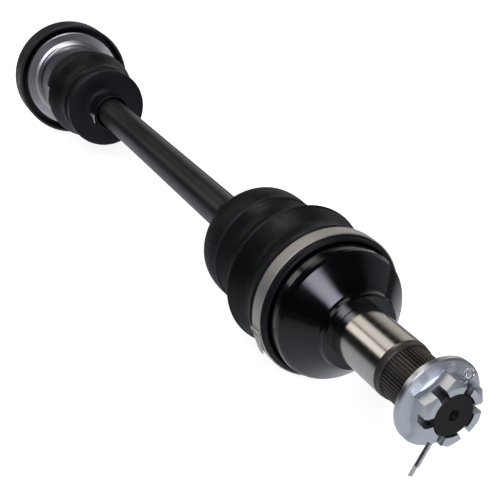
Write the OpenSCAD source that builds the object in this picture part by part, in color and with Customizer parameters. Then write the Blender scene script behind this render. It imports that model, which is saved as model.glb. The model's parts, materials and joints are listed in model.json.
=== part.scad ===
/* [Overall layout] */
// Distance from the hub shoulder back to the centre of the outer joint
outer_centre = 34; // [32:0.5:36]
// Distance from the hub shoulder back to the centre of the inner joint
inner_centre = 478; // [420:1:560]
// Diameter of the solid axle shaft
shaft_d = 22.9; // [22:0.1:23]

/* [Hub stub] */
// Diameter of the ground journal for the hub bearing
journal_d = 30; // [29:0.5:30]
// Length of the ground journal
journal_len = 34.6; // [30:0.1:34.6]
// Number of spline teeth on the hub stub
hub_teeth = 52; // [36:1:56]
// Outside diameter of the hub spline
hub_spline_d = 27.4; // [26:0.1:28]
// Diameter of the threaded end
thread_d = 21.1; // [20:0.1:21.2]
// Distance from the hub shoulder to the end of the stub
stub_end = 72.8; // [70:0.1:74]
// Diameter of the hole for the cotter pin
pin_hole_d = 3.2; // [2.8:0.1:3.6]

/* [Castle nut] */
// Distance from the hub shoulder to the nut's bearing face
nut_x = 59.4; // [58:0.1:60]
// Diameter of the nut's flange
nut_flange_d = 42.3; // [40:0.1:44]
// Width across the flats of the hexagon
nut_flats = 28.9; // [28:0.1:30]
// Height of the nut, flange included
nut_h = 13.8; // [13:0.1:14]
// Width of each slot for the cotter pin
slot_w = 4.5; // [3:0.1:5]
// Depth of each slot
slot_h = 5.6; // [5:0.1:6]

/* [Cotter pin] */
// Diameter of the closed shank
pin_d = 2.3; // [2:0.1:2.6]
// Distance from the stub's axis to the middle of the eye
pin_eye = 16.8; // [16:0.1:18]
// Distance from the stub's axis to the end of the long leg
pin_long = 32.8; // [28:0.1:36]
// Distance from the stub's axis to the end of the short leg
pin_short = 27.6; // [24:0.1:28]

/* [Outer joint] */
// Diameter of the balls in the outer joint
outer_ball_d = 15.875; // [15.875]
// Diameter of the circle that the ball centres lie on
outer_pitch_d = 46.4; // [46:0.1:46.8]
// Outside diameter of the bell
bell_d = 71.2; // [70:0.1:72]
// Diameter of the spherical seat for the cage
bell_seat_d = 56; // [55.6:0.1:56]

/* [Inner joint] */
// Diameter of the balls in the inner joint
inner_ball_d = 14.288; // [14.288]
// Diameter of the circle that the ball centres lie on
inner_pitch_d = 41; // [40.8:0.1:41.2]
// Outside diameter of the cup
cup_d = 63; // [62.6:0.1:64]
// Diameter of the bore that the cage slides in
cup_bore_d = 47; // [46.8:0.1:47]
// Diameter of the bright flange around the cup
flange_d = 85; // [80:0.5:86]
// Diameter of the black dust ring
dust_ring_d = 97.8; // [94:0.1:100]
// Width of the black dust ring
dust_ring_w = 21; // [18:0.5:22]
// Diameter of the pilot at the gearbox end
pilot_d = 28; // [27.8:0.1:29]
// Number of spline teeth at the gearbox end
gearbox_teeth = 26; // [20:1:30]

/* [Boots] */
// Thickness of the rubber in the boots
boot_wall = 2.2; // [1.8:0.1:2.4]
// Thickness of the stainless boot bands
band_t = 0.6; // [0.4:0.1:0.7]

/* [Hidden] */
$fn = 64;

// small shared sizes
fit_gap = 0.05;          // a still fit between two pieces of one body
run_gap = 0.4;           // between surfaces that turn on each other
eps = 0.01;

// outer joint, centred at x = oc
oc = -outer_centre;
ball_r = outer_ball_d / 2;
pitch_r = outer_pitch_d / 2;
bell_r = bell_d / 2;
seat_r = bell_seat_d / 2;
polar_track_r = ball_r + 0.2;     // tracks of the two balls on the upright axis
side_track_r = ball_r + 0.95;     // the other four swing a little sideways as the joint bends
mouth_x = oc - 13.6;               // open end of the bell
cage_r = seat_r - run_gap;
cage_bore_r = 21;
cage_half = 11.5;
race_r = cage_bore_r - run_gap;
race_half = 11;
polar_az = [90, 270];
side_az = [30, 150, 210, 330];
seam_az = 30;

// inner joint, centred at x = ic
ic = -inner_centre;
iball_r = inner_ball_d / 2;
ipitch_r = inner_pitch_d / 2;
cup_r = cup_d / 2;
cup_bore_r = cup_bore_d / 2;
iside_track_r = iball_r + 0.2;    // tracks of the two balls on the tilt axis
icage_track_r = iball_r + 0.45;   // tracks of the four balls that tilt with the cage
cup_mouth_x = ic + 29;
cup_floor_x = ic - 26;
flange_x = ic - 18.8;             // front face of the flange
flange_t = 3.6;
icage_r = cup_bore_r - run_gap;
icage_bore_r = 17.6;
icage_half = 9.8;
irace_r = icage_bore_r - run_gap;
irace_half = 9.5;
iside_az = [0, 180];
icage_az = [60, 120, 240, 300];
ring_x = ic - 39;                 // back face of the dust ring
ring_boss_r = 24;
seal_r = 17.5;
pilot_x = ring_x - 14;            // where the pilot starts
pilot_len = 12;
gearbox_spline_len = 30;
gearbox_end_x = pilot_x - pilot_len - gearbox_spline_len;
stop_ring_x = cup_mouth_x - 5.2;

// shaft
shaft_r = shaft_d / 2;
shaft_spline_r = 10.6;
shaft_teeth = 24;
neck_r = 10.4;
race_bore_r = shaft_spline_r + fit_gap;
clip_t = 1.2;

// boots: outside radius along the axle, [x, r], from the big end to the small end
outer_boot_line = [
    [oc + 7.5, 37.4], [oc + 6.4, 38.7], [oc + 4.8, 39.1], [oc, 39.1], [oc - 4, 39.1], [oc - 6, 38.8],
    [oc - 8.5, 38.7], [oc - 11.5, 38.4], [oc - 14, 37.6], [oc - 17, 36.1], [oc - 19.5, 35.5],
    [oc - 22, 35.9], [oc - 26, 37.9], [oc - 31.8, 40], [oc - 36.5, 37.6],
    [oc - 46, 31.2], [oc - 50.5, 30], [oc - 56, 31], [oc - 63, 33.4], [oc - 70, 33.9],
    [oc - 78, 33.4], [oc - 85, 30.5], [oc - 91, 24], [oc - 95, 17.5], [oc - 98, 14.9],
    [oc - 101, 14.5], [oc - 106, 14.5], [oc - 113, 14.5]
];
inner_boot_line = [
    [ic + 16.5, 33.6], [ic + 18, 34.1], [ic + 21, 34.1], [ic + 25, 34.1], [ic + 29, 34.2],
    [ic + 31.5, 35.4], [ic + 34.5, 36.9], [ic + 38.5, 36.4], [ic + 46, 32.8], [ic + 54, 30.4],
    [ic + 60.5, 30.6], [ic + 66, 28.9], [ic + 71, 31], [ic + 76, 31.8], [ic + 79.5, 30.4],
    [ic + 80.5, 26], [ic + 80, 20], [ic + 80.6, 16.4], [ic + 82.4, 14.6], [ic + 85, 14.2],
    [ic + 94, 14.2]
];
obig = [oc - 3.2, 7.9];           // large outer band: its rear edge's x, its width
osmall = [oc - 111, 7];
ibig = [ic + 20.2, 7.6];
ismall = [ic + 87, 5.6];

hub_tooth_h = 0.9;
hub_pin_x = nut_x + 9.6;
pin_eye_r = 2.05;                  // to the middle of the wire
pin_eye_wire = 0.9;
pin_az = 60;                      // the eye's direction around the axle, from +Y towards +Z

// ---- helpers -------------------------------------------------------------

// Solid of revolution about the axle: points are [x, r]
module turned(points)
    rotate([0, 90, 0]) rotate_extrude() polygon([for (p = points) [p[1], p[0]]]);

// Cylinder along the axle from x0 to x1
module bar(x0, x1, r) translate([x0, 0, 0]) rotate([0, 90, 0]) cylinder(h = x1 - x0, r = r);

// Sphere on the axle, its poles on the axle too and its seam turned to fall between two balls
module globe(x, r) translate([x, 0, 0]) rotate([-seam_az, 0, 0]) rotate([0, 90, 0]) sphere(r = r);

// Ring along the axle
module tube(x0, x1, ro, ri) difference() {
    bar(x0, x1, ro);
    bar(x0 - 1, x1 + 1, ri);
}

// External spline: straight-sided teeth between root and tip radius
module spline(x0, x1, teeth, root, tip) {
    step = 360 / teeth;
    outline = [for (i = [0 : teeth - 1], k = [[0, root], [0.22, root], [0.36, tip], [0.86, tip]])
        let (a = (i + k[0]) * step) [k[1] * cos(a), k[1] * sin(a)]];
    translate([x0, 0, 0]) rotate([0, 90, 0]) linear_extrude(height = x1 - x0) polygon(outline);
}

// Open snap ring of flat section
module circlip(x, ri, ro, t, open_angle) translate([x, 0, 0]) rotate([0, 90, 0])
    rotate_extrude(angle = 360 - open_angle) translate([ri, 0]) square([ro - ri, t]);

// Curved ball track in the plane of azimuth az, from angle a0 (towards the mouth) to a1
module curved_track(az, r, a0, a1) translate([oc, 0, 0]) rotate([az, 0, 0])
    rotate([0, 0, 90 - a1]) rotate_extrude(angle = a1 - a0) translate([pitch_r, 0]) circle(r = r);

// Straight ball track
module straight_track(az, r, x0, x1) rotate([az, 0, 0]) translate([0, ipitch_r, 0]) bar(x0, x1, r);

// Ball on a pitch circle
module ball(x, az, pr, r) rotate([az, 0, 0]) translate([x, pr, 0]) sphere(r = r);

// Rounded path through [x, r] stations, n points to a span
function eased(line, n = 3) = [
    for (i = [0 : len(line) - 2], k = [0 : n - 1])
        let (a = line[i], b = line[i + 1], c = line[max(i - 1, 0)], d = line[min(i + 2, len(line) - 1)],
             t = k / n, u = 1 - t)
        // cubic through a and b with end slopes taken from the neighbours
        a * (u * u * (1 + 2 * t)) + b * (t * t * (3 - 2 * t))
            + (b - c) * (0.5 * t * u * u) - (d - a) * (0.5 * t * t * u),
    line[len(line) - 1]
];

// Points one wall inside a path that runs along x in the direction x_sign
function shrunk(line, x_sign) = [
    for (i = [1 : len(line) - 2])
        let (d = line[i + 1] - line[i - 1],
             q = line[i] + x_sign * boot_wall / norm(d) * [d[1], -d[0]])
        if (min([for (p = line) norm(p - q)]) > boot_wall - 0.15) q
];

// Rubber bellows: outside line, bore radius at each end and wall
module bellows(line, big_bore, big_len, small_bore, small_len, x_sign) {
    outside = eased(line);
    first = line[0];
    last = line[len(line) - 1];
    inside = [for (p = shrunk(outside, x_sign))
        if (abs(p[0] - first[0]) > big_len && abs(p[0] - last[0]) > small_len) p];
    turned(concat(
        [[first[0], big_bore]], outside, [[last[0], small_bore]],
        [[last[0] - x_sign * small_len, small_bore]],
        [for (i = [len(inside) - 1 : -1 : 0]) [inside[i][0], max(inside[i][1], small_bore)]],
        [[first[0] + x_sign * big_len, big_bore]]
    ));
}

// Stainless band with its folded ear
module band(place, r, ear_az, ear) {
    x0 = place[0];
    x1 = place[0] + place[1];
    difference() {
        union() {
            bar(x0, x1, r + band_t);
            rotate([ear_az, 0, 0]) translate([x0 + 0.6, r - 0.2, -ear / 2])
                cube([place[1] - 1.2, 2.3, ear]);
        }
        bar(x0 - 1, x1 + 1, r);
    }
}

// ---- outer joint ---------------------------------------------------------

module outer_joint_housing() color("#17181b") difference() {
    union() {
        turned([
            [mouth_x, 0], [mouth_x, bell_r - 1.4], [mouth_x + 1.4, bell_r], [-20.2, bell_r],
            [-18.2, bell_r - 0.35], [-16.6, bell_r - 1.5], [-5.6, 22.6], [-4.4, 21.2], [-3.4, 20.6],
            [-1, 20.6], [0, 19.7], [0, 0]
        ]);
        bar(-1, journal_len, journal_d / 2);
        turned([
            [journal_len - eps, 0], [journal_len - eps, journal_d / 2 - 0.1],
            [journal_len + 1.2, journal_d / 2 - 0.5], [journal_len + 3.2, journal_d / 2 - 0.5],
            [journal_len + 3.6, hub_spline_d / 2 + 0.25], [journal_len + 3.6, 0]
        ]);
        spline(journal_len + 2, nut_x - 0.9, hub_teeth, hub_spline_d / 2 - hub_tooth_h, hub_spline_d / 2);
        turned([
            [nut_x - 2, 0], [nut_x - 2, thread_d / 2], [stub_end - 0.9, thread_d / 2],
            [stub_end, thread_d / 2 - 0.9], [stub_end, 0]
        ]);
    }
    // seat for the cage, with a flat floor, and the flared mouth
    intersection() {
        globe(oc, seat_r);
        bar(mouth_x - 1, oc + 20, seat_r + 1);
    }
    turned([
        [mouth_x - 1, 0], [mouth_x - 1, 28], [oc - 11.6, sqrt(seat_r * seat_r - 11.6 * 11.6) - 0.05],
        [oc - 10, 20], [oc - 10, 0]
    ]);
    for (a = polar_az) curved_track(a, polar_track_r, -62, 36);
    for (a = side_az) curved_track(a, side_track_r, -62, 38);
    // cotter pin hole and turning centre
    rotate([pin_az, 0, 0]) translate([hub_pin_x, 0, 0]) rotate([90, 0, 0])
        cylinder(h = thread_d + 4, d = pin_hole_d, center = true);
    turned([[stub_end - 7, 0], [stub_end - 6, 1.7], [stub_end - 1.9, 1.7], [stub_end + 0.2, 2.95],
        [stub_end + 0.2, 0]]);
}

module hub_nut() color("#c9ced3") difference() {
    union() {
        turned([
            [nut_x, 0], [nut_x, nut_flange_d / 2 - 0.5], [nut_x + 0.5, nut_flange_d / 2],
            [nut_x + 2.8, nut_flange_d / 2], [nut_x + 3.3, nut_flange_d / 2 - 0.7],
            [nut_x + 4.6, nut_flats / 2 + 1], [nut_x + 4.6, 0]
        ]);
        intersection() {
            translate([nut_x + 1, 0, 0]) rotate([0, 90, 0])
                cylinder(h = nut_h - 1, r = nut_flats / sqrt(3), $fn = 6);
            turned([
                [nut_x, 0], [nut_x, 20], [nut_x + nut_h - (20 - 13.6) * tan(30), 20],
                [nut_x + nut_h, 13.6], [nut_x + nut_h, 0]
            ]);
        }
    }
    bar(nut_x - 1, nut_x + nut_h + 1, thread_d / 2 + fit_gap);
    turned([
        [nut_x - 0.5, 0], [nut_x - 0.5, thread_d / 2 + 1.4],
        [nut_x + 1.2, thread_d / 2 - 0.3], [nut_x + 1.2, 0]
    ]);
    for (a = [0, 60, 120]) rotate([a, 0, 0])
        translate([nut_x + nut_h - slot_h, -25, -slot_w / 2]) cube([slot_h + 1, 50, slot_w]);
}

// One half-round leg, side = 1 towards the wheel and -1 towards the bell
module pin_leg(side, long) intersection() {
    translate([0, 0.8 - pin_eye, 0]) rotate([-90, 0, 0]) cylinder(h = long + pin_eye - 0.8, d = pin_d);
    translate([side > 0 ? 0.08 : -5.08, -40, -5]) cube([5, 90, 10]);
}

module cotter_pin() color("#9a9a96") translate([hub_pin_x, 0, 0]) rotate([pin_az + 180, 0, 0]) {
    pin_leg(-1, pin_long);
    pin_leg(1, pin_short);
    translate([0, -pin_eye - 1.1, 0]) rotate_extrude() translate([pin_eye_r, 0]) circle(r = pin_eye_wire);
}

module outer_inner_race() color("#8f9296") difference() {
    intersection() {
        globe(oc, race_r);
        bar(oc - race_half, oc + race_half, race_r + 1);
    }
    for (a = polar_az) curved_track(a, polar_track_r, -60, 60);
    for (a = side_az) curved_track(a, side_track_r, -60, 60);
    bar(oc - 20, oc + 20, race_bore_r);
}

module outer_cage() color("#777b80") difference() {
    intersection() {
        globe(oc, cage_r);
        bar(oc - cage_half, oc + cage_half, cage_r + 1);
    }
    globe(oc, cage_bore_r);
    for (a = concat(polar_az, side_az)) rotate([a, 0, 0])
        translate([oc - ball_r - 0.12, 0, -ball_r - 0.4])
            cube([outer_ball_d + 0.24, 40, outer_ball_d + 0.8]);
}

module outer_ball_upper() color("#d8dadd") ball(oc, polar_az[0], pitch_r, ball_r);

module outer_ball_lower() color("#d8dadd") ball(oc, polar_az[1], pitch_r, ball_r);

module outer_side_balls() color("#d8dadd") for (a = side_az) ball(oc, a, pitch_r, ball_r);

module outer_race_circlip() color("#50535a")
    circlip(oc + race_half + 0.1, 9.2, shaft_spline_r + 0.9, clip_t, 40);

module outer_boot() color("#1d1e20")
    bellows(outer_boot_line, bell_r + fit_gap, 14, shaft_r + fit_gap, 15, -1);

module outer_boot_large_band() color("#a9a49b") band(obig, 39.2, 196, 12);

module outer_boot_small_band() color("#a9a49b") band(osmall, 14.58, 330, 7);

// ---- shaft ---------------------------------------------------------------

module axle_shaft() color("#2b2c2f") difference() {
    union() {
        turned([
            [ic + irace_half + 0.3, 0], [ic + irace_half + 0.3, neck_r], [ic + 42, neck_r],
            [ic + 48, shaft_r], [oc - race_half - 0.3, shaft_r], [oc - race_half - 0.3, 0]
        ]);
        spline(oc - race_half - 1, oc + race_half + 2.6, shaft_teeth, 9.8, shaft_spline_r);
        spline(ic - irace_half - 2.6, ic + irace_half + 1, shaft_teeth, 9.8, shaft_spline_r);
    }
    tube(oc + race_half + 0.05, oc + race_half + 0.15 + clip_t, 20, 9.1);
    tube(ic - irace_half - 0.15 - clip_t, ic - irace_half - 0.05, 20, 9.1);
}

// ---- inner joint ---------------------------------------------------------

module inner_joint_housing() color("#b9bdc2") difference() {
    union() {
        // cup with its flange, fillet and dust ring boss
        turned([
            [ring_x - 1.6, 0], [ring_x - 1.6, ring_boss_r - 1], [ring_x - 0.6, ring_boss_r],
            [flange_x - flange_t, ring_boss_r], [flange_x - flange_t, flange_d / 2 - 0.8],
            [flange_x - flange_t + 0.8, flange_d / 2], [flange_x - 0.9, flange_d / 2],
            [flange_x, flange_d / 2 - 0.9], [flange_x - 0.5, cup_r + 3.6], [flange_x + 0.6, cup_r + 1.7],
            [flange_x + 2, cup_r + 0.6], [flange_x + 3.6, cup_r],
            [cup_mouth_x - 1.2, cup_r], [cup_mouth_x, cup_r - 1.2], [cup_mouth_x, 0]
        ]);
        // seal journal and pilot
        turned([
            [pilot_x, 0], [pilot_x, seal_r - 0.8], [pilot_x + 0.8, seal_r],
            [ring_x - 1, seal_r], [ring_x - 1, 0]
        ]);
        bar(pilot_x - pilot_len, pilot_x + 1, pilot_d / 2);
        spline(gearbox_end_x, pilot_x - pilot_len + 1, gearbox_teeth, pilot_d / 2 - 1.7, pilot_d / 2 - 0.5);
    }
    bar(cup_floor_x, cup_mouth_x + 1, cup_bore_r);
    turned([[cup_mouth_x - 3, 0], [cup_mouth_x - 3, cup_bore_r - 0.2], [cup_mouth_x + 0.5, cup_bore_r + 3],
        [cup_mouth_x + 0.5, 0]]);
    turned([[cup_floor_x - 5, 0], [cup_floor_x + 1, 14], [cup_floor_x + 1, 0]]);
    for (a = iside_az) straight_track(a, iside_track_r, cup_floor_x + 1.5, cup_mouth_x + 1);
    for (a = icage_az) straight_track(a, icage_track_r, cup_floor_x + 1.5, cup_mouth_x + 1);
    // stop ring groove, gearbox circlip groove and turning centre
    tube(stop_ring_x - 0.1, stop_ring_x + 2.1, 25, 20);
    tube(gearbox_end_x + 3.9, gearbox_end_x + 5.6, 20, pilot_d / 2 - 2.6);
    turned([[gearbox_end_x - 0.2, 0], [gearbox_end_x - 0.2, 2.95], [gearbox_end_x + 1.9, 1.7],
        [gearbox_end_x + 6, 1.7], [gearbox_end_x + 7, 0]]);
}

module inner_stop_ring() color("#5c6066") circlip(stop_ring_x, 22.9, 24.9, 2, 30);

module dust_ring() color("#26272a") turned([
    [ring_x, ring_boss_r + fit_gap], [ring_x, dust_ring_d / 2 - 1.5], [ring_x + 0.5, dust_ring_d / 2 - 0.4],
    [ring_x + 1.5, dust_ring_d / 2], [ring_x + dust_ring_w - 0.4, dust_ring_d / 2],
    [ring_x + dust_ring_w, dust_ring_d / 2 - 0.4], [ring_x + dust_ring_w, dust_ring_d / 2 - 1.6],
    [ring_x + dust_ring_w - 0.4, dust_ring_d / 2 - 2], [ring_x + 2.5, dust_ring_d / 2 - 2],
    [ring_x + 2, dust_ring_d / 2 - 2.5], [ring_x + 2, ring_boss_r + 4], [ring_x + 7, ring_boss_r + 2.2],
    [ring_x + 7, ring_boss_r + fit_gap]
]);

module inner_race() color("#8f9296") difference() {
    intersection() {
        globe(ic, irace_r);
        bar(ic - irace_half, ic + irace_half, irace_r + 1);
    }
    for (a = iside_az) straight_track(a, iside_track_r, ic - 20, ic + 20);
    for (a = icage_az) straight_track(a, icage_track_r, ic - 20, ic + 20);
    bar(ic - 20, ic + 20, race_bore_r);
}

module inner_cage() color("#777b80") difference() {
    intersection() {
        globe(ic, icage_r);
        bar(ic - icage_half, ic + icage_half, icage_r + 1);
    }
    globe(ic, icage_bore_r);
    for (a = concat(iside_az, icage_az)) rotate([a, 0, 0])
        translate([ic - iball_r - 0.12, 0, -iball_r - 0.3])
            cube([inner_ball_d + 0.24, 40, inner_ball_d + 0.6]);
}

module inner_side_balls() color("#d8dadd") for (a = iside_az) ball(ic, a, ipitch_r, iball_r);

module inner_cage_balls() color("#d8dadd") for (a = icage_az) ball(ic, a, ipitch_r, iball_r);

module inner_race_circlip() color("#50535a")
    circlip(ic - irace_half - 0.1 - clip_t, 9.2, shaft_spline_r + 0.9, clip_t, 40);

module inner_boot() color("#1d1e20")
    bellows(inner_boot_line, cup_r + fit_gap, 13, shaft_r + fit_gap, 12, 1);

module inner_boot_large_band() color("#a9a49b") band(ibig, 34.25, 186, 14);

module inner_boot_small_band() color("#a9a49b") band(ismall, 14.35, 190, 6);

module gearbox_circlip() color("#50535a")
    circlip(gearbox_end_x + 4, pilot_d / 2 - 2.5, pilot_d / 2 - 0.3, 1.5, 30);

outer_joint_housing();
hub_nut();
cotter_pin();
outer_inner_race();
outer_cage();
outer_ball_upper();
outer_ball_lower();
outer_side_balls();
outer_race_circlip();
outer_boot();
outer_boot_large_band();
outer_boot_small_band();
axle_shaft();
inner_boot();
inner_boot_large_band();
inner_boot_small_band();
inner_joint_housing();
inner_stop_ring();
dust_ring();
inner_race();
inner_cage();
inner_side_balls();
inner_cage_balls();
inner_race_circlip();
gearbox_circlip();
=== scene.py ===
import json
from math import cos, radians, sin, sqrt, tau

import bpy
from mathutils import Matrix, Vector


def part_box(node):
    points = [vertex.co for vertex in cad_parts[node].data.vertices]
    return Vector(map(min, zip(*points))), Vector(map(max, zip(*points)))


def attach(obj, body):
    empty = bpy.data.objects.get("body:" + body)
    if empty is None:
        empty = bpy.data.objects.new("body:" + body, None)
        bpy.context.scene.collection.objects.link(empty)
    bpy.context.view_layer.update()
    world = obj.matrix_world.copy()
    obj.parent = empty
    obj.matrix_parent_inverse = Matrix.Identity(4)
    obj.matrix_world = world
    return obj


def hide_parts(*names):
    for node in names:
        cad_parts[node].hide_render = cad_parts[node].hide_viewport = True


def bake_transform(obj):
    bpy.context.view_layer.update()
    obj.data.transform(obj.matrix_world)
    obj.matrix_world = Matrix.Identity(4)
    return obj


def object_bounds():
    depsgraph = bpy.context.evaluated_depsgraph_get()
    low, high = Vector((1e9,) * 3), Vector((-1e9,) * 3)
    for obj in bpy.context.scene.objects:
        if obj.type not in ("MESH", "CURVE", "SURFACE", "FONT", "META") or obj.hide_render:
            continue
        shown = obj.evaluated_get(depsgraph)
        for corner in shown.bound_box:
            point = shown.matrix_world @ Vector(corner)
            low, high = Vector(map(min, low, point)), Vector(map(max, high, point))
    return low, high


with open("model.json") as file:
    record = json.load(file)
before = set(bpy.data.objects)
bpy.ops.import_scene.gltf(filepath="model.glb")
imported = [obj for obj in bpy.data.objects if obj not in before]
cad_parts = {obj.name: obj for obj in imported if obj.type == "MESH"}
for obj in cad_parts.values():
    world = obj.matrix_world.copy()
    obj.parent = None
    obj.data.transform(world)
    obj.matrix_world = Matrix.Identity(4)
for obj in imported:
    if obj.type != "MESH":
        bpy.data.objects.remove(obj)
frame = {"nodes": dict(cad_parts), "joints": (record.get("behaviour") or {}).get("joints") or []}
cad_low, cad_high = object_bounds()
scene = bpy.context.scene

MM = 0.001
AXLE = Vector((1, 0, 0))

# ---- places taken from the frame ----------------------------------------------------------

joint_place = {j["name"]: Vector(j["pos_m"]) for j in frame["joints"] if "pos_m" in j}
OUTER_X = joint_place["outer_pitch"].x / MM
INNER_X = joint_place["inner_tilt"].x / MM
SHAFT_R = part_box("axle_shaft")[1].z / MM
BELL_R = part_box("outer_joint_housing")[1].z / MM
FLOOR_Z = cad_low.z
OUTER_RIDGES = [(OUTER_X - away) * MM for away in (8.1, 32.1, 62.9)]
INNER_RIDGES = [(INNER_X + away) * MM for away in (35.0, 62.2, 78.6)]
RIDGE_HALF = 0.0004
RIDGE_SOFT = 0.0009
JOURNAL_START = 0.0004
JOURNAL_END = 0.0347
BEYOND = 0.2              # past the end of the hub stub
SHARP = 0.0001            # how softly one finish gives way to the next
NUT_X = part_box("hub_nut")[0].x
NECK_X = (INNER_X - 15.6) * MM     # where the neck of the inner cup leaves its fillet

# ---- camera, lights and floor -------------------------------------------------------------


def make_camera():
    place = Vector((0.32344, -0.21154, 0.22828))
    aim = Vector((-0.08385, -0.01884, 0.01153))
    data = bpy.data.cameras.new("camera")
    data.lens = 67.26
    data.sensor_width = 36
    camera = bpy.data.objects.new("camera", data)
    camera.location = place
    camera.rotation_euler = (aim - place).to_track_quat("-Z", "Y").to_euler()
    scene.collection.objects.link(camera)
    scene.camera = camera


def toward(azimuth, elevation):
    """A direction: azimuth 0 on the -Y side and 90 on the +X side, elevation up from the floor."""
    a, e = radians(azimuth), radians(elevation)
    return Vector((sin(a) * cos(e), -cos(a) * cos(e), sin(e)))


WARM = (1.03, 1.0, 0.95)
COOL = (0.94, 0.96, 1.12)

# soft panels: azimuth, elevation, half-width where full and where it ends, brightness, tint
PANELS = [
    (-56, 27, 7, 12, 1.4, WARM),
    (-78, 46, 7, 16, 1.05, WARM),
    (-140, 6, 12, 42, 0.55, WARM),
    (180, 8, 10, 45, 0.2, COOL),
    (104, 0, 12, 46, 0.34, COOL),
    (69, 37, 3, 18, 6.0, COOL),
]


def make_studio():
    """A dark room with soft bright panels, drawn by direction; the camera itself sees pale paper."""
    world = bpy.data.worlds.new("studio")
    world.use_nodes = True
    tree = world.node_tree
    view = add(tree, "ShaderNodeTexCoord").outputs["Generated"]
    light = (0.012, 0.012, 0.014)
    for azimuth, elevation, full, end, brightness, tint in PANELS:
        facing = add(
            tree, "ShaderNodeVectorMath", {0: view, 1: toward(azimuth, elevation)}, operation="DOT_PRODUCT"
        ).outputs["Value"]
        panel = between(tree, facing, cos(radians(end)), cos(radians(full)), 0.0, brightness)
        light = add(
            tree, "ShaderNodeVectorMath", {0: panel, 1: tint, 2: light}, operation="MULTIPLY_ADD"
        ).outputs["Vector"]
    camera_ray = add(tree, "ShaderNodeLightPath").outputs["Is Camera Ray"]
    seen = mix_colour(tree, camera_ray, light, grey(1.0))
    tree.links.new(seen, tree.nodes["Background"].inputs["Color"])
    scene.world = world
    scene.view_settings.view_transform = "Standard"
    data = bpy.data.lights.new("overhead", "AREA")
    data.shape = "DISK"
    data.size = 0.7
    data.energy = 9
    overhead = bpy.data.objects.new("overhead", data)
    overhead.location = (-0.2, 0, 2)
    scene.collection.objects.link(overhead)


def make_floor():
    """Pale paper: near white to the eye with a faint shadow, and a greyer fill from below for the axle."""
    bpy.ops.object.select_all(action="DESELECT")
    bpy.ops.mesh.primitive_plane_add(size=12, location=(0, 0, FLOOR_Z))
    floor = bpy.context.object
    floor.name = "floor"
    material = bpy.data.materials.new("pale_paper")
    material.use_nodes = True
    tree = material.node_tree
    tree.nodes.clear()
    paper = add(tree, "ShaderNodeBsdfDiffuse", {"Color": (0.9, 0.9, 0.9, 1)})
    glow = add(tree, "ShaderNodeEmission", {"Color": (1, 1, 1, 1), "Strength": 0.86})
    seen = add(tree, "ShaderNodeAddShader", {0: paper.outputs[0], 1: glow.outputs[0]})
    place = add(tree, "ShaderNodeNewGeometry").outputs["Position"]
    aside = calc(tree, "ABSOLUTE", add(tree, "ShaderNodeSeparateXYZ", {0: place}).outputs["Y"])
    fill_light = between(tree, aside, 0.02, 0.42, 0.52, 0.05)
    fill = add(tree, "ShaderNodeEmission", {"Color": (0.93, 0.97, 1.06, 1), "Strength": fill_light})
    camera_ray = add(tree, "ShaderNodeLightPath").outputs["Is Camera Ray"]
    mixed = add(
        tree, "ShaderNodeMixShader", {0: camera_ray, 1: fill.outputs[0], 2: seen.outputs[0]}
    )
    add(tree, "ShaderNodeOutputMaterial", {"Surface": mixed.outputs[0]})
    floor.data.materials.append(material)


# ---- shader helpers -----------------------------------------------------------------------


def add(tree, kind, inputs=None, **settings):
    """A node with its settings, and its inputs either linked or given a value."""
    node = tree.nodes.new(kind)
    for key, value in settings.items():
        setattr(node, key, value)
    for key, value in (inputs or {}).items():
        if isinstance(value, bpy.types.NodeSocket):
            tree.links.new(value, node.inputs[key])
        else:
            node.inputs[key].default_value = value
    return node


def calc(tree, operation, a, b=0.0, c=0.0, clamp=False):
    return add(tree, "ShaderNodeMath", {0: a, 1: b, 2: c}, operation=operation, use_clamp=clamp).outputs[0]


def times(tree, a, b, clamp=False):
    return calc(tree, "MULTIPLY", a, b, clamp=clamp)


def plus(tree, a, b, clamp=False):
    return calc(tree, "ADD", a, b, clamp=clamp)


def noise(tree, place, scale, detail=3.0, roughness=0.55, distortion=0.0):
    inputs = {
        "Vector": place, "Scale": scale, "Detail": detail, "Roughness": roughness, "Distortion": distortion,
    }
    return add(tree, "ShaderNodeTexNoise", inputs).outputs["Fac"]


def between(tree, value, low, high, to_low=0.0, to_high=1.0):
    """value from low to high, eased and held at both ends."""
    inputs = {"Value": value, "From Min": low, "From Max": high, "To Min": to_low, "To Max": to_high}
    return add(tree, "ShaderNodeMapRange", inputs, interpolation_type="SMOOTHSTEP").outputs["Result"]


def mix_colour(tree, share, a, b):
    node = add(tree, "ShaderNodeMix", data_type="RGBA")
    for socket, value in zip([node.inputs[0], node.inputs[6], node.inputs[7]], [share, a, b]):
        if isinstance(value, bpy.types.NodeSocket):
            tree.links.new(value, socket)
        else:
            socket.default_value = value
    return node.outputs[2]


def mix_value(tree, share, a, b):
    node = add(tree, "ShaderNodeMix", data_type="FLOAT")
    for socket, value in zip(node.inputs[:1] + node.inputs[2:4], [share, a, b]):
        if isinstance(value, bpy.types.NodeSocket):
            tree.links.new(value, socket)
        else:
            socket.default_value = value
    return node.outputs[0]


def grey(value, tint=(1, 1, 1)):
    return (value * tint[0], value * tint[1], value * tint[2], 1)


def new_group(name, inputs, outputs):
    """A shader node group with named sockets: inputs {name: (kind, default)}, outputs {name: kind}."""
    kinds = {"float": "NodeSocketFloat", "vector": "NodeSocketVector", "colour": "NodeSocketColor"}
    group = bpy.data.node_groups.new(name, "ShaderNodeTree")
    for key, (kind, default) in inputs.items():
        socket = group.interface.new_socket(key, in_out="INPUT", socket_type=kinds[kind])
        if default is not None:
            socket.default_value = default
    for key, kind in outputs.items():
        group.interface.new_socket(key, in_out="OUTPUT", socket_type=kinds[kind])
    source = group.nodes.new("NodeGroupInput")
    sink = group.nodes.new("NodeGroupOutput")
    return group, source.outputs, sink.inputs


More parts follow.
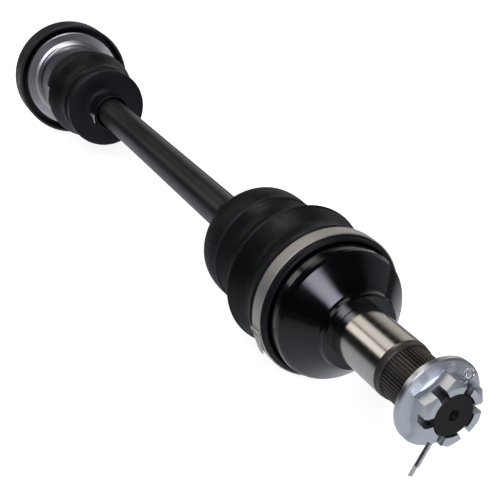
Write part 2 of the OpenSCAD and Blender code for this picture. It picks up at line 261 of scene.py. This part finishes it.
def use_group(tree, group, inputs):
    node = add(tree, "ShaderNodeGroup", node_tree=group)
    for key, value in inputs.items():
        if isinstance(value, bpy.types.NodeSocket):
            tree.links.new(value, node.inputs[key])
        else:
            node.inputs[key].default_value = value
    return node.outputs


# ---- shader groups ------------------------------------------------------------------------


def make_mottle():
    """Broad and fine unevenness of a finish, from 0 to 1."""
    group, given, out = new_group(
        "mottle",
        {
            "Place": ("vector", None), "Broad Scale": ("float", 30.0), "Fine Scale": ("float", 400.0),
            "Fine Share": ("float", 0.4),
        },
        {"Broad": "float", "Mask": "float"},
    )
    broad = noise(group, given["Place"], given["Broad Scale"], 4, 0.6, 0.4)
    fine = noise(group, given["Place"], given["Fine Scale"], 3, 0.6)
    spread = between(group, broad, 0.3, 0.7)
    group.links.new(spread, out["Broad"])
    group.links.new(mix_value(group, given["Fine Share"], spread, fine), out["Mask"])
    return group


def make_turning():
    """Fine rings about the axle: across a cylinder by x, and across a face by radius."""
    group, given, out = new_group(
        "turning_marks",
        {"Place": ("vector", None), "Pitch": ("float", 0.00025), "Waver": ("float", 0.3)},
        {"Height": "float", "Band": "float"},
    )
    split = add(group, "ShaderNodeSeparateXYZ", {0: given["Place"]})
    y, z = split.outputs["Y"], split.outputs["Z"]
    radius = calc(group, "SQRT", plus(group, times(group, y, y), times(group, z, z)))
    line = plus(group, split.outputs["X"], radius)
    steps = calc(group, "DIVIDE", line, given["Pitch"])
    around = add(group, "ShaderNodeCombineXYZ", {"X": steps, "Y": times(group, radius, 20.0)})
    fine = noise(group, around.outputs[0], 1.0, 2, 0.7)
    wide = add(group, "ShaderNodeCombineXYZ", {"X": times(group, steps, 0.12)})
    broad = noise(group, wide.outputs[0], 1.0, 2, 0.5)
    patch = noise(group, given["Place"], 60.0, 2, 0.5)
    height = times(group, fine, plus(group, 1.0, times(group, patch, given["Waver"])))
    group.links.new(height, out["Height"])
    group.links.new(between(group, broad, 0.35, 0.65), out["Band"])
    return group


def make_edge_wear_and_highlight():
    """Where edges stand out: the rounded normal leaves the true one there, broken up by noise. The mask
    lightens edges as wear and partly as a painted highlight along them.
    """
    group, given, out = new_group(
        "edge_wear_and_highlight",
        {
            "Place": ("vector", None), "Radius": ("float", 0.0005), "Breakup Scale": ("float", 350.0),
            "Amount": ("float", 0.6),
        },
        {"Mask": "float"},
    )
    rounded = add(group, "ShaderNodeBevel", {"Radius": given["Radius"]}, samples=4)
    true_normal = add(group, "ShaderNodeNewGeometry").outputs["Normal"]
    along = add(
        group, "ShaderNodeVectorMath", {0: rounded.outputs[0], 1: true_normal}, operation="DOT_PRODUCT"
    )
    edge = between(group, along.outputs["Value"], 0.995, 0.86)
    broken = between(group, noise(group, given["Place"], given["Breakup Scale"], 4, 0.7), 0.38, 0.62)
    worn_and_highlit = times(group, times(group, edge, broken), given["Amount"], clamp=True)
    group.links.new(worn_and_highlit, out["Mask"])
    return group


def make_scuffs():
    """Thin short scratches in two directions, with patches where there are none."""
    group, given, out = new_group(
        "scuffs",
        {"Place": ("vector", None), "Scale": ("float", 60.0), "Density": ("float", 0.5)},
        {"Mask": "float"},
    )
    lines = []
    for turn, stretch in [(0.5, (1, 14, 3)), (-0.9, (2, 3, 16))]:
        mapped = add(
            group, "ShaderNodeMapping",
            {"Vector": given["Place"], "Rotation": (turn, turn * 0.7, turn * 1.3), "Scale": stretch},
        )
        grain = noise(group, mapped.outputs[0], given["Scale"], 3, 0.5, 0.2)
        off_middle = calc(group, "ABSOLUTE", calc(group, "SUBTRACT", grain, 0.5))
        lines.append(between(group, off_middle, 0.012, 0.0))
    either = calc(group, "MAXIMUM", lines[0], lines[1])
    where = between(group, noise(group, given["Place"], 38.0, 2, 0.5), 0.52, 0.66)
    marks = times(group, times(group, either, where), given["Density"], clamp=True)
    group.links.new(marks, out["Mask"])
    return group


def make_zone():
    """1 where x lies between Start and End, eased over Soft at each end."""
    group, given, out = new_group(
        "zone_along_axle",
        {
            "Place": ("vector", None), "Start": ("float", 0.0), "End": ("float", 1.0),
            "Soft": ("float", 0.0003),
        },
        {"Mask": "float"},
    )
    x = add(group, "ShaderNodeSeparateXYZ", {0: given["Place"]}).outputs["X"]
    steps = []
    for end, behind, ahead in [("Start", 0.0, 1.0), ("End", 1.0, 0.0)]:
        low = calc(group, "SUBTRACT", given[end], given["Soft"])
        high = plus(group, given[end], given["Soft"])
        steps.append(between(group, x, low, high, behind, ahead))
    group.links.new(times(group, steps[0], steps[1]), out["Mask"])
    return group


MOTTLE = make_mottle()
TURNING = make_turning()
EDGE_WEAR_AND_HIGHLIGHT = make_edge_wear_and_highlight()
SCUFFS = make_scuffs()
ZONE = make_zone()


def cloudiness(tree, place, broad_scale, fine_scale, fine_share):
    return use_group(
        tree, MOTTLE,
        {"Place": place, "Broad Scale": broad_scale, "Fine Scale": fine_scale, "Fine Share": fine_share},
    )


def turning_lines(tree, place, pitch, waver):
    return use_group(tree, TURNING, {"Place": place, "Pitch": pitch, "Waver": waver})


# edge mask for wear and for a painted highlight along edges
def worn_and_highlit_edges(tree, place, radius, breakup_scale, amount):
    inputs = {"Place": place, "Radius": radius, "Breakup Scale": breakup_scale, "Amount": amount}
    return use_group(tree, EDGE_WEAR_AND_HIGHLIGHT, inputs)["Mask"]


def scuffed(tree, place, scale, density):
    return use_group(tree, SCUFFS, {"Place": place, "Scale": scale, "Density": density})["Mask"]


def zone(tree, place, start, end, soft):
    return use_group(tree, ZONE, {"Place": place, "Start": start, "End": end, "Soft": soft})["Mask"]


# ---- materials ----------------------------------------------------------------------------


def start_material(name):
    material = bpy.data.materials.new(name)
    material.use_nodes = True
    tree = material.node_tree
    shader = tree.nodes["Principled BSDF"]
    return material, tree, shader


def object_place(tree):
    return add(tree, "ShaderNodeTexCoord").outputs["Object"]


def rest_place(tree):
    return add(tree, "ShaderNodeAttribute", attribute_name="rest_place").outputs["Vector"]


def bump(tree, height, distance, strength=1.0):
    inputs = {"Height": height, "Distance": distance, "Strength": strength}
    return add(tree, "ShaderNodeBump", inputs).outputs[0]


def connect(tree, shader, **sockets):
    names = {
        "colour": "Base Color", "roughness": "Roughness", "metallic": "Metallic", "normal": "Normal",
        "coat": "Coat Weight",
    }
    for key, value in sockets.items():
        socket = shader.inputs[names[key]]
        if isinstance(value, bpy.types.NodeSocket):
            tree.links.new(value, socket)
        else:
            socket.default_value = value


def boot_rubber():
    """Matte moulded rubber: fine grain, a greyer bloom, lighter lines on the ridges that are partly wear
    and partly a painted highlight, and a few scuffs.
    """
    material, tree, shader = start_material("boot_rubber")
    place = rest_place(tree)
    cloud = cloudiness(tree, place, 45.0, 700.0, 0.45)
    marks = scuffed(tree, place, 70.0, 0.8)
    bloom = mix_colour(tree, cloud["Mask"], grey(0.004, (0.88, 1, 1.2)), grey(0.013, (0.9, 1, 1.16)))
    # ridges lighter: partly wear of the rubber, partly a painted highlight line along each crest
    ridge_rub_and_highlight = 0.0
    for ridge in OUTER_RIDGES + INNER_RIDGES:
        at = zone(tree, place, ridge - RIDGE_HALF, ridge + RIDGE_HALF, RIDGE_SOFT)
        ridge_rub_and_highlight = calc(tree, "MAXIMUM", at, ridge_rub_and_highlight)
    patchy = between(tree, noise(tree, place, 160.0, 4, 0.65), 0.3, 0.62, 0.15, 1.0)
    ridge_rub_and_highlight = times(tree, ridge_rub_and_highlight, patchy)
    # painted ridge highlight, with wear, mixed into the colour
    colour = mix_colour(tree, ridge_rub_and_highlight, bloom, grey(0.06, (0.94, 1, 1.08)))
    colour = mix_colour(tree, marks, colour, grey(0.07, (0.95, 1, 1.06)))
    rough = between(tree, cloud["Mask"], 0.2, 0.8, 0.4, 0.55)
    rough = calc(tree, "SUBTRACT", rough, times(tree, ridge_rub_and_highlight, 0.1))
    grain = noise(tree, place, 2600.0, 3, 0.6)
    leather = noise(tree, place, 520.0, 4, 0.6)
    height = plus(tree, times(tree, grain, 0.5), leather)
    height = calc(tree, "SUBTRACT", height, times(tree, marks, 0.6))
    connect(tree, shader, colour=colour, roughness=rough, normal=bump(tree, height, 0.00005, 0.7))
    shader.inputs["Specular IOR Level"].default_value = 0.26
    return material


def housing_finish():
    """Gloss black paint on the bell, a ground journal, then brown phosphate on the spline and thread."""
    material, tree, shader = start_material("housing_finish")
    place = object_place(tree)
    journal = zone(tree, place, JOURNAL_START, JOURNAL_END, SHARP)
    phosphate = zone(tree, place, JOURNAL_END, BEYOND, SHARP)
    thread = zone(tree, place, NUT_X, BEYOND, SHARP)
    cloud = cloudiness(tree, place, 55.0, 900.0, 0.35)
    lines = turning_lines(tree, place, 0.00016, 0.6)
    worn_and_highlit = worn_and_highlit_edges(tree, place, 0.0005, 500.0, 0.55)
    # colours of the three finishes
    paint = mix_colour(tree, cloud["Mask"], grey(0.0015, (0.9, 1, 1.3)), grey(0.004, (0.9, 1, 1.3)))
    # paint edges lighter: wear and partly a painted edge highlight
    paint = mix_colour(tree, times(tree, worn_and_highlit, 0.25), paint, grey(0.07))
    steel = mix_colour(tree, lines["Band"], grey(0.5, (1.06, 1, 0.93)), grey(0.58, (1.04, 1, 0.95)))
    spline = mix_colour(tree, cloud["Mask"], grey(0.06, (1.12, 1, 0.92)), grey(0.13, (1.15, 1, 0.9)))
    end_black = mix_colour(tree, cloud["Mask"], grey(0.006, (1.1, 1, 0.95)), grey(0.016, (1.1, 1, 0.95)))
    dark = mix_colour(tree, thread, spline, end_black)
    # spline and thread edges lighter: wear and partly a painted edge highlight
    dark = mix_colour(tree, times(tree, worn_and_highlit, 0.6), dark, grey(0.3, (1.05, 1, 0.92)))
    colour = mix_colour(tree, phosphate, mix_colour(tree, journal, paint, steel), dark)
    spline_shine = times(tree, calc(tree, "SUBTRACT", phosphate, thread), 0.75)
    metallic = plus(tree, journal, spline_shine, clamp=True)
    paint_rough = between(tree, cloud["Mask"], 0.2, 0.8, 0.14, 0.22)
    steel_rough = between(tree, lines["Band"], 0.0, 1.0, 0.15, 0.22)
    dark_rough = between(tree, cloud["Mask"], 0.2, 0.8, 0.34, 0.5)
    rough = mix_value(tree, phosphate, mix_value(tree, journal, paint_rough, steel_rough), dark_rough)
    peel = noise(tree, place, 420.0, 2, 0.5)
    pitted = times(tree, noise(tree, place, 1500.0, 4, 0.7), 0.8)
    ground = times(tree, lines["Height"], 0.012)
    height = mix_value(
        tree, phosphate, mix_value(tree, journal, peel, ground), pitted
    )
    bare = plus(tree, journal, phosphate)
    coat = calc(tree, "SUBTRACT", 0.8, times(tree, bare, 0.8), clamp=True)
    connect(
        tree, shader, colour=colour, metallic=metallic, roughness=rough, coat=coat,
        normal=bump(tree, height, 0.00002, 0.8),
    )
    shader.inputs["Coat Roughness"].default_value = 0.1
    shader.inputs["Specular IOR Level"].default_value = 0.25
    return material


def satin_paint():
    """Black satin paint on the bar, with faint drawing lines under it and a few scuffs."""
    material, tree, shader = start_material("satin_paint")
    place = object_place(tree)
    cloud = cloudiness(tree, place, 26.0, 600.0, 0.4)
    marks = scuffed(tree, place, 55.0, 0.25)
    base = mix_colour(tree, cloud["Mask"], grey(0.014, (0.96, 1, 1.06)), grey(0.024, (0.97, 1, 1.04)))
    colour = mix_colour(tree, marks, base, grey(0.06))
    rough = between(tree, cloud["Mask"], 0.2, 0.8, 0.3, 0.36)
    drawn = add(tree, "ShaderNodeMapping", {"Vector": place, "Scale": (6, 900, 900)})
    streaks = times(tree, noise(tree, drawn.outputs[0], 1.0, 2, 0.5), 0.35)
    height = plus(tree, noise(tree, place, 480.0, 3, 0.5), streaks)
    connect(tree, shader, colour=colour, roughness=rough, normal=bump(tree, height, 0.00001, 0.6))
    shader.inputs["Specular IOR Level"].default_value = 0.6
    return material


def bright_zinc():
    """Bluish bright zinc plate, slightly cloudy, with edges lighter from wear and partly a painted edge
    highlight, and small handling marks.
    """
    material, tree, shader = start_material("bright_zinc")
    place = object_place(tree)
    cloud = cloudiness(tree, place, 120.0, 1400.0, 0.5)
    worn_and_highlit = worn_and_highlit_edges(tree, place, 0.0006, 700.0, 0.8)
    marks = scuffed(tree, place, 110.0, 0.45)
    lines = turning_lines(tree, place, 0.0003, 0.8)
    plate = mix_colour(tree, cloud["Mask"], grey(0.7, (0.95, 1, 1.03)), grey(0.8, (0.97, 1, 1.02)))
    # edges lighter: wear and partly a painted edge highlight
    colour = mix_colour(tree, worn_and_highlit, plate, grey(0.95))
    colour = mix_colour(tree, times(tree, marks, 0.25), colour, grey(0.4))
    rough = plus(tree, between(tree, cloud["Mask"], 0.2, 0.8, 0.27, 0.32), times(tree, marks, 0.1))
    grain = noise(tree, place, 2400.0, 2, 0.7)
    height = plus(tree, times(tree, grain, 0.6), times(tree, lines["Height"], 0.1))
    relief = bump(tree, height, 0.00001, 0.8)
    connect(tree, shader, colour=colour, metallic=1.0, roughness=rough, normal=relief)
    return material


def plain_metal(
    name, dark, light, rough_low, rough_high, pitch=0.0002, tint=(1, 1, 1), line_depth=0.2
):
    """Bare steel: turning or rolling lines about the axle, a cloudy tone and edges lighter from wear and
    partly a painted edge highlight.
    """
    material, tree, shader = start_material(name)
    place = object_place(tree)
    cloud = cloudiness(tree, place, 70.0, 900.0, 0.4)
    lines = turning_lines(tree, place, pitch, 0.5)
    worn_and_highlit = worn_and_highlit_edges(tree, place, 0.0004, 600.0, 0.5)
    tone = mix_value(tree, 0.5, cloud["Mask"], lines["Band"])
    colour = mix_colour(tree, tone, grey(dark, tint), grey(light, tint))
    # edges lighter: wear and partly a painted edge highlight
    colour = mix_colour(tree, worn_and_highlit, colour, grey(min(0.9, light * 1.4), tint))
    rough = between(tree, tone, 0.15, 0.85, rough_low, rough_high)
    height = plus(tree, times(tree, lines["Height"], line_depth), times(tree, cloud["Mask"], 0.2))
    relief = bump(tree, height, 0.00002, 0.8)
    connect(tree, shader, colour=colour, metallic=1.0, roughness=rough, normal=relief)
    return material


def zinc_cup():
    """Turned zinc on the flange of the cup, and a painted darker bluish reflection on the neck in front of
    it.
    """
    material, tree, shader = start_material("turned_zinc")
    place = object_place(tree)
    cloud = cloudiness(tree, place, 60.0, 900.0, 0.3)
    lines = turning_lines(tree, place, 0.0003, 0.5)
    worn_and_highlit = worn_and_highlit_edges(tree, place, 0.0006, 300.0, 0.9)
    neck = zone(tree, place, NECK_X, 0.0, 0.0008)
    tone = mix_value(tree, 0.4, cloud["Mask"], lines["Band"])
    plate = mix_colour(tree, tone, grey(0.58, (0.99, 1, 1.0)), grey(0.74, (1.0, 1, 0.98)))
    # painted dark bluish reflection on the neck
    neck_painted_reflection = mix_colour(tree, tone, grey(0.13, (1.0, 0.97, 1.08)), grey(0.22, (1.0, 0.97, 1.07)))
    # edges and rim lighter: wear and partly a painted edge highlight
    colour = mix_colour(tree, worn_and_highlit, mix_colour(tree, neck, plate, neck_painted_reflection), grey(0.9))
    rough = mix_value(tree, neck, between(tree, tone, 0.15, 0.85, 0.3, 0.36), 0.24)
    height = plus(tree, times(tree, lines["Height"], 0.05), times(tree, cloud["Mask"], 0.1))
    relief = bump(tree, height, 0.00002, 0.8)
    connect(tree, shader, colour=colour, metallic=1.0, roughness=rough, normal=relief)
    around = add(tree, "ShaderNodeTangent", direction_type="RADIAL", axis="X")
    tree.links.new(around.outputs[0], shader.inputs["Tangent"])
    shader.inputs["Anisotropic"].default_value = 0.8
    return material


def ring_coat():
    """Dark satin coat on the dust ring, dusty grey where it has been handled, and edges lighter from wear
    and partly a painted edge highlight.
    """
    material, tree, shader = start_material("ring_coat")
    place = object_place(tree)
    cloud = cloudiness(tree, place, 40.0, 800.0, 0.5)
    marks = scuffed(tree, place, 60.0, 0.7)
    worn_and_highlit = worn_and_highlit_edges(tree, place, 0.0005, 420.0, 0.5)
    base = mix_colour(tree, cloud["Mask"], grey(0.02, (0.92, 1, 1.05)), grey(0.036, (0.92, 1, 1.05)))
    # handled marks, and edges lighter from wear and partly a painted edge highlight
    colour = mix_colour(tree, calc(tree, "MAXIMUM", marks, worn_and_highlit), base, grey(0.1))
    rough = between(tree, cloud["Mask"], 0.2, 0.8, 0.36, 0.52)
    height = plus(tree, cloud["Mask"], noise(tree, place, 1300.0, 3, 0.6))
    connect(tree, shader, colour=colour, roughness=rough, normal=bump(tree, height, 0.00003, 0.6))
    return material


RUBBER = boot_rubber()
HOUSING = housing_finish()
SATIN = satin_paint()
ZINC = bright_zinc()
RING = ring_coat()
BAND = plain_metal("stainless_band", 0.62, 0.74, 0.5, 0.6, 0.00018, (1.05, 1, 0.93))
WIRE = plain_metal("drawn_wire", 0.6, 0.8, 0.25, 0.36, 0.0003)
DISH = zinc_cup()
GROUND = plain_metal("ground_steel", 0.45, 0.6, 0.18, 0.3)
CAGE = plain_metal("hardened_steel", 0.16, 0.3, 0.3, 0.45, 0.0003, (1.04, 1, 0.95))
BALL = plain_metal("polished_steel", 0.7, 0.8, 0.04, 0.09, 0.0003, (1, 1, 1), 0.02)
SPRING = plain_metal("spring_steel", 0.1, 0.2, 0.35, 0.5, 0.0003)

CAD_FINISH = {
    "outer_joint_housing": HOUSING, "hub_nut": ZINC, "cotter_pin": WIRE, "axle_shaft": SATIN,
    "outer_inner_race": GROUND, "inner_race": GROUND, "outer_cage": CAGE, "inner_cage": CAGE,
    "outer_ball_upper": BALL, "outer_ball_lower": BALL, "outer_side_balls": BALL,
    "inner_side_balls": BALL, "inner_cage_balls": BALL,
    "outer_race_circlip": SPRING, "inner_race_circlip": SPRING, "inner_stop_ring": SPRING,
    "gearbox_circlip": SPRING, "inner_joint_housing": DISH, "dust_ring": RING,
}


def give_material(piece, material):
    piece.data.materials.clear()
    piece.data.materials.append(material)


for node_name, finish in CAD_FINISH.items():
    give_material(frame["nodes"][node_name], finish)

# ---- modelling helpers --------------------------------------------------------------------

SPIN_STEPS = 144


def deselect_all():
    if bpy.context.object and bpy.context.object.mode != "OBJECT":
        bpy.ops.object.mode_set(mode="OBJECT")
    bpy.ops.object.select_all(action="DESELECT")


def smooth_path(stations, steps):
    """A rounded path through (x, r) stations."""
    ends = [stations[0], *stations, stations[-1]]
    path = []
    for before, a, b, after in zip(ends, ends[1:], ends[2:], ends[3:]):
        for k in range(steps):
            t = k / steps
            u = 1 - t
            weights = (
                -0.5 * t * u * u,
                u * u * (1 + 2 * t) + 0.5 * t * t * u,
                t * t * (3 - 2 * t) + 0.5 * t * u * u,
                -0.5 * t * t * u,
            )
            corners = (before, a, b, after)
            path.append(tuple(sum(w * p[i] for w, p in zip(weights, corners)) for i in (0, 1)))
    return path + [tuple(stations[-1])]


def on_axle(point):
    """A point (x, r) in millimetres, in the upright plane through the axle, in metres."""
    return Vector((point[0] * MM, 0, point[1] * MM))


def spun_ring(name, outline, steps=SPIN_STEPS, smooth_angle=40):
    """A ring about the axle, spun from a closed outline of (x, r) points in millimetres."""
    deselect_all()
    bpy.ops.mesh.primitive_plane_add(size=MM, location=on_axle(outline[0]))
    piece = bpy.context.object
    piece.name = name
    bpy.ops.object.mode_set(mode="EDIT")
    bpy.ops.mesh.merge(type="CENTER")
    for here, there in zip(outline, outline[1:]):
        bpy.ops.mesh.extrude_vertices_move(TRANSFORM_OT_translate={"value": on_axle(there) - on_axle(here)})
    bpy.ops.mesh.select_all(action="DESELECT")
    bpy.ops.object.mode_set(mode="OBJECT")
    for vertex in (piece.data.vertices[0], piece.data.vertices[-1]):
        vertex.select = True
    bpy.ops.object.mode_set(mode="EDIT")
    bpy.ops.mesh.edge_face_add()
    bpy.ops.mesh.select_all(action="SELECT")
    bpy.ops.mesh.spin(steps=steps, angle=tau, center=(0, 0, 0), axis=AXLE)
    bpy.ops.mesh.select_all(action="SELECT")
    bpy.ops.mesh.remove_doubles(threshold=MM * 0.002)
    bpy.ops.mesh.normals_make_consistent(inside=False)
    bpy.ops.object.mode_set(mode="OBJECT")
    bpy.ops.object.transform_apply(location=True)
    bpy.ops.object.shade_smooth_by_angle(angle=radians(smooth_angle))
    return piece


# ---- boots --------------------------------------------------------------------------------

# sizes in millimetres
BOOT_WALL = 2.2
WALL_SLACK = 0.12         # how much thinner the wall may get in a tight fold
GRIP_GAP = 0.05           # between a boot and what it is clamped on
PATH_STEPS = 4
BAND_T = 0.6
INNER_SEAT_RUBBER = 2.7

# outside of each boot as (x from the joint's centre, radius), from its big end to the shaft
OUTER_BOOT = [
    (7.5, 36.6), (7.45, 37.3), (6.9, 37.9), (6.1, 38.05), (5.3, 38.4), (4.8, 39.0), (3, 39.1), (0, 39.1),
    (-3, 39.1), (-4, 39.1), (-4.6, 38.8), (-5.2, 38.35), (-6.0, 38.2), (-7.2, 38.5), (-7.9, 38.95),
    (-8.5, 38.9), (-9.4, 38.45), (-12, 38.0), (-14, 37.2), (-16.5, 36.0), (-19.5, 35.3), (-22.5, 35.9),
    (-26, 37.5), (-29.5, 39.1), (-30.9, 39.7), (-31.5, 40.3), (-32.1, 40.45), (-32.7, 40.1),
    (-33.3, 39.4), (-35, 38.4), (-37.5, 36.8), (-41.5, 34.0), (-46, 31.2), (-50.5, 29.9), (-55, 30.4),
    (-59, 31.8), (-61.6, 32.9), (-62.3, 33.6), (-62.9, 33.95), (-63.5, 33.75), (-64.2, 33.4), (-66, 33.6),
    (-70, 34.1), (-75, 34.0), (-80, 33.2), (-84.5, 31.0), (-88, 28), (-91, 23.8), (-94, 18.6),
    (-96.5, 15.8), (-99, 14.7), (-101.5, 14.5), (-106, 14.5), (-110, 14.5), (-112, 14.4), (-113, 13.7),
]
OUTER_SEAMS = [(-19.5, 35.3), (-50.5, 29.9), (-75, 34.0)]
INNER_BOOT = [
    (16.5, 33.0), (16.7, 33.6), (17.6, 34.05), (19, 34.1), (21, 34.1), (24, 34.1), (27.6, 34.1),
    (28.6, 34.3), (30, 34.8), (31.6, 35.5), (33.3, 36.1), (34.3, 36.7), (35.0, 37.0), (35.7, 36.8),
    (36.6, 36.4), (38.5, 36.0), (42, 34.5), (46.5, 32.4), (51, 30.8), (55.5, 30.3), (60, 30.8),
    (61.4, 31.0), (62.1, 31.45), (62.8, 31.3), (63.5, 30.5), (64.6, 29.7), (66.4, 29.1), (68.6, 29.6),
    (71, 31), (73.5, 31.7), (76, 31.8), (77.8, 31.7), (78.8, 31.4), (79.5, 30.6), (80.1, 28.8),
    (80.4, 26), (80.3, 22.5), (80.1, 19), (80.5, 16.8), (81.4, 15.4), (82.6, 14.5), (84.4, 14.2),
    (88, 14.2), (92.6, 14.2), (93.6, 14.0), (94, 13.4),
]
INNER_SEAMS = [(38.5, 36.0), (60, 30.8)]


def inside_of(path, sign):
    """The path moved one wall inwards; sign is +1 where x grows along it. None where walls would cross."""
    moved = []
    for i, p in enumerate(path):
        ahead = path[min(i + 1, len(path) - 1)]
        behind = path[max(i - 1, 0)]
        step = Vector((ahead[0] - behind[0], ahead[1] - behind[1])).normalized()
        q = (p[0] + sign * BOOT_WALL * step[1], p[1] - sign * BOOT_WALL * step[0])
        nearest = min(sqrt((q[0] - o[0]) ** 2 + (q[1] - o[1]) ** 2) for o in path)
        moved.append(q if nearest > BOOT_WALL - WALL_SLACK else None)
    return moved


def boot_parts(name, stations, seams, centre, sign, big_bore, big_length, small_length):
    """One boot in parts that meet at the seams."""
    path = smooth_path(stations, PATH_STEPS)
    inner = inside_of(path, sign)
    first, last = path[0], path[-1]
    small_bore = SHAFT_R + GRIP_GAP
    cuts = [0, *[stations.index(s) * PATH_STEPS for s in seams], len(path) - 1]
    made = []
    for k, (a, b) in enumerate(zip(cuts, cuts[1:])):
        lining = []
        for i in range(b, a - 1, -1):
            q = inner[i]
            at_seam = i in (a, b)
            if q is None or not (at_seam or between_ends(q, first, last, sign, big_length, small_length)):
                continue
            if i == 0:
                lining += [(first[0] + sign * big_length, big_bore), (first[0], big_bore)]
            elif i == len(path) - 1:
                lining += [(last[0], small_bore), (last[0] - sign * small_length, small_bore)]
            else:
                lining.append((q[0], max(q[1], small_bore)))
        outline = [(centre + p[0], p[1]) for p in path[a:b + 1] + lining]
        part = spun_ring(f"{name}_{k + 1}", outline, smooth_angle=50)
        keep_rest_place(part)
        give_material(part, RUBBER)
        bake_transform(part)
        made.append(part)
    return made


def between_ends(q, first, last, sign, big_length, small_length):
    """Whether a point of the lining lies between the seat at the big end and the cuff."""
    return (q[0] - first[0]) * sign > big_length and (last[0] - q[0]) * sign > small_length


def keep_rest_place(piece):
    """Stores where each point is at rest, so that a pattern stays on the rubber as it bends."""
    attribute = piece.data.attributes.new("rest_place", "FLOAT_VECTOR", "POINT")
    attribute.data.foreach_set("vector", [c for v in piece.data.vertices for c in v.co])


def make_boots():
    outer = boot_parts(
        "outer_boot_part", OUTER_BOOT, OUTER_SEAMS, OUTER_X, -1, BELL_R + GRIP_GAP, 14, 15,
    )
    cup_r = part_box("inner_boot_large_band")[1].z / MM - BAND_T - INNER_SEAT_RUBBER
    inner = boot_parts(
        "inner_boot_part", INNER_BOOT, INNER_SEAMS, INNER_X, 1, cup_r, 13, 12,
    )
    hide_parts("outer_boot")
    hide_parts("inner_boot")


make_boots()

# ---- bands --------------------------------------------------------------------------------

# sizes in millimetres
BAND_EDGE = 0.18
BAND_CROWN = 0.05
FOLD_HEIGHT = 1.5
FOLD_THICK = 2.4
TAIL_INSET = 0.4
TAIL_TIP = 0.45           # width of the tip as a share of the strip's
TAIL_CURL = 0.014         # drop towards the boot along the tail


def strip_outline(x0, x1, r):
    """Section of a rolled strip with softened edges."""
    soft = BAND_EDGE
    return [
        (x0, r), (x0, r + BAND_T - soft), (x0 + soft, r + BAND_T), ((x0 + x1) / 2, r + BAND_T + BAND_CROWN),
        (x1 - soft, r + BAND_T), (x1, r + BAND_T - soft), (x1, r), ((x0 + x1) / 2, r),
    ]


def turned_to(azimuth):
    """Turns +Y to the given azimuth about the axle, from +Y towards +Z."""
    return Matrix.Rotation(radians(azimuth), 4, "X")


def tapered_tail(name, x0, x1, r, azimuth, length, narrow):
    """The strip's free end past its fold: it leaves the boot along a tangent and narrows to a tip."""
    deselect_all()
    width = x1 - x0
    bpy.ops.mesh.primitive_cube_add(size=1, location=((x0 + x1) / 2 * MM, 0, 0))
    tail = bpy.context.object
    tail.name = name
    tail.scale = (width * MM, BAND_T * MM, length * MM)
    bpy.ops.object.transform_apply(location=True, scale=True)
    bpy.ops.object.mode_set(mode="EDIT")
    bpy.ops.mesh.select_all(action="SELECT")
    bpy.ops.transform.translate(value=(0, (r + BAND_T * 1.6) * MM, length / 2 * MM))
    bpy.ops.mesh.subdivide(number_cuts=3)
    bpy.ops.mesh.select_all(action="DESELECT")
    bpy.ops.object.mode_set(mode="OBJECT")
    middle = (x0 + x1) / 2 * MM
    for vertex in tail.data.vertices:
        share = vertex.co.z / (length * MM)
        vertex.co.x = middle + (vertex.co.x - middle) * (1 - (1 - narrow) * share ** 2)
        vertex.co.y -= TAIL_CURL * (vertex.co.z / MM) ** 1.7 * MM
    tail.matrix_world = turned_to(azimuth)
    bpy.ops.object.transform_apply(location=True, rotation=True, scale=True)
    bevel = tail.modifiers.new("soft_edges", "BEVEL")
    bevel.width = 0.12 * MM
    bevel.segments = 2
    bpy.ops.object.modifier_apply(modifier=bevel.name)
    return tail


def folded_lug(name, x0, x1, r, azimuth, height, thick):
    """The raised fold that locks the strip: a block with a dish pressed in its top."""
    deselect_all()
    bpy.ops.mesh.primitive_cube_add(size=1, location=((x0 + x1) / 2 * MM, (r + height / 2) * MM, 0))
    lug = bpy.context.object
    lug.name = name
    lug.scale = ((x1 - x0 + 0.5) * MM, height * MM, thick * MM)
    bpy.ops.object.transform_apply(location=True, scale=True)
    bpy.ops.object.mode_set(mode="EDIT")
    bpy.ops.mesh.select_mode(type="FACE")
    bpy.ops.mesh.select_all(action="DESELECT")
    bpy.ops.object.mode_set(mode="OBJECT")
    for face in lug.data.polygons:
        face.select = face.normal.y > 0.9
    bpy.ops.object.mode_set(mode="EDIT")
    bpy.ops.mesh.inset(thickness=0.45 * MM)
    bpy.ops.transform.translate(value=(0, -0.5 * MM, 0))
    bpy.ops.object.mode_set(mode="OBJECT")
    bevel = lug.modifiers.new("soft_edges", "BEVEL")
    bevel.width = 0.2 * MM
    bevel.segments = 2
    bpy.ops.object.modifier_apply(modifier=bevel.name)
    lug.matrix_world = turned_to(azimuth)
    bpy.ops.object.transform_apply(location=True, rotation=True, scale=True)
    return lug


def make_band(node, name, body, fold_azimuth, tail_length):
    """A stainless boot band: the strip round the boot, its locking fold and its tail."""
    low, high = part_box(node)
    x0, x1 = low.x / MM, high.x / MM
    r = high.z / MM - BAND_T
    strip = spun_ring(name, strip_outline(x0, x1, r))
    lug = folded_lug(f"{name}_fold", x0, x1, r + BAND_T * 0.6, fold_azimuth, FOLD_HEIGHT, FOLD_THICK)
    tail = tapered_tail(
        f"{name}_tail", x0 + TAIL_INSET, x1 - TAIL_INSET, r, fold_azimuth + 1, tail_length, TAIL_TIP
    )
    deselect_all()
    for piece in (lug, tail, strip):
        piece.select_set(True)
    bpy.context.view_layer.objects.active = strip
    bpy.ops.object.join()
    bpy.ops.object.shade_smooth_by_angle(angle=radians(40))
    give_material(strip, BAND)
    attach(strip, body)
    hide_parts(node)
    return strip


make_band("outer_boot_large_band", "outer_large_strap", "outer_joint", 189, 13)
make_band("outer_boot_small_band", "outer_small_strap", "shaft", 330, 6)
make_band("inner_boot_large_band", "inner_large_strap", "inner_joint", 168, 12)
make_band("inner_boot_small_band", "inner_small_strap", "shaft", 184, 6)

# ---- scene --------------------------------------------------------------------------------

make_camera()
make_studio()
make_floor()
